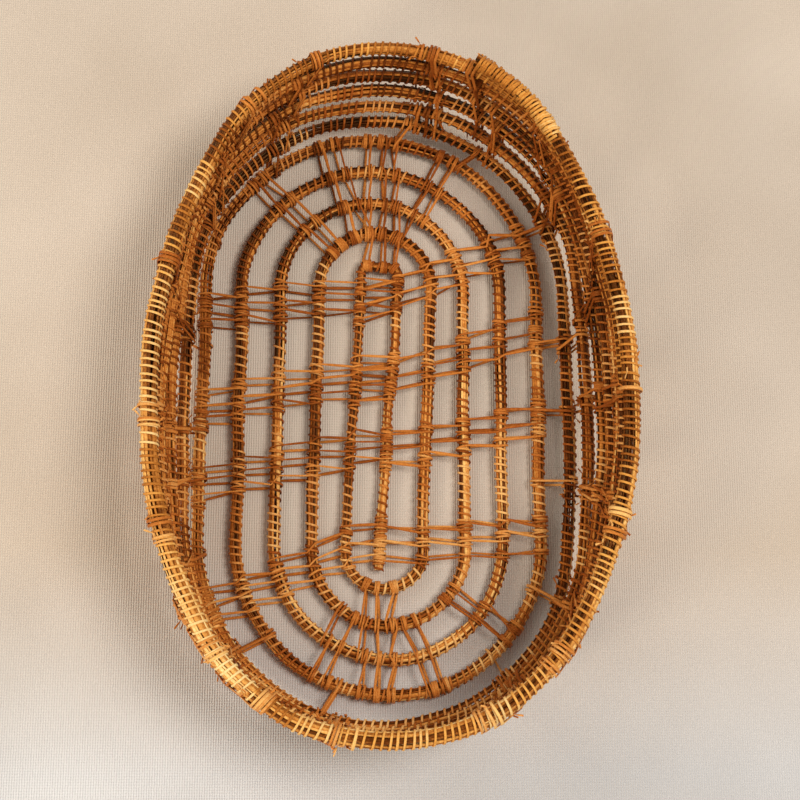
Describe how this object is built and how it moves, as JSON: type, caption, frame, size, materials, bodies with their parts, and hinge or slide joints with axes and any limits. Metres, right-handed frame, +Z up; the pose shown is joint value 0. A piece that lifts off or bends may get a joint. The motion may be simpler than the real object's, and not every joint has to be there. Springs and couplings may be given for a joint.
{
  "type": "coiled basket",
  "caption": "Oval openwork basket coiled from a stem bundle wound with split strips, with stitched floor coils and a flaring lashed wall.",
  "frame": {"origin": "centre of the basket's footprint, on the surface it stands on", "axes": "+Z up out of the mouth, +Y along the long axis towards the end where the rim bundle is bound off, +X to the right when +Y points away"},
  "size_m": [0.2172, 0.3144, 0.0668],
  "materials": {
    "stem_bundle": "dark brown bark-covered stems, slightly glossy, with straw streaks",
    "winding_strip": "tan split strips, satin, with fibre streaks",
    "rim_strip": "straw-gold split strips, satin, with fibre streaks",
    "stitch_strip": "tan split strips, satin, with fibre streaks"
  },
  "bodies": {
    "root": {"core_start": "stem_bundle", "core_floor_1": "stem_bundle", "core_floor_2": "stem_bundle", "core_floor_3": "stem_bundle", "core_floor_4": "stem_bundle", "core_wall_1": "stem_bundle", "core_wall_2": "stem_bundle", "core_wall_3": "stem_bundle", "core_wall_4": "stem_bundle", "core_wall_5": "stem_bundle", "core_rim": "stem_bundle", "winding_start": "winding_strip", "winding_floor_1": "winding_strip", "winding_floor_2": "winding_strip", "winding_floor_3": "winding_strip", "winding_floor_4": "winding_strip", "winding_wall_1": "winding_strip", "winding_wall_2": "winding_strip", "winding_wall_3": "winding_strip", "winding_wall_4": "winding_strip", "winding_wall_5": "winding_strip", "winding_rim": "rim_strip", "rim_end_binding": "rim_strip", "stitch_row_left_1": "stitch_strip", "stitch_row_left_2": "stitch_strip", "stitch_row_left_3": "stitch_strip", "stitch_row_left_4": "stitch_strip", "stitch_row_right_1": "stitch_strip", "stitch_row_right_2": "stitch_strip", "stitch_row_right_3": "stitch_strip", "stitch_row_right_4": "stitch_strip", "stitch_row_head_1": "stitch_strip", "stitch_row_head_2": "stitch_strip", "stitch_row_head_3": "stitch_strip", "stitch_row_head_4": "stitch_strip", "stitch_row_foot_1": "stitch_strip", "stitch_row_foot_2": "stitch_strip", "stitch_row_foot_3": "stitch_strip", "stitch_row_foot_4": "stitch_strip", "lashing_1": "stitch_strip", "lashing_2": "stitch_strip", "lashing_3": "stitch_strip", "lashing_4": "stitch_strip", "lashing_5": "stitch_strip", "lashing_6": "stitch_strip", "lashing_7": "stitch_strip", "lashing_8": "stitch_strip", "lashing_9": "stitch_strip", "lashing_10": "stitch_strip", "lashing_11": "stitch_strip", "lashing_12": "stitch_strip", "lashing_13": "stitch_strip", "lashing_14": "stitch_strip", "lashing_15": "stitch_strip", "lashing_16": "stitch_strip"}
  },
  "joints": []
}
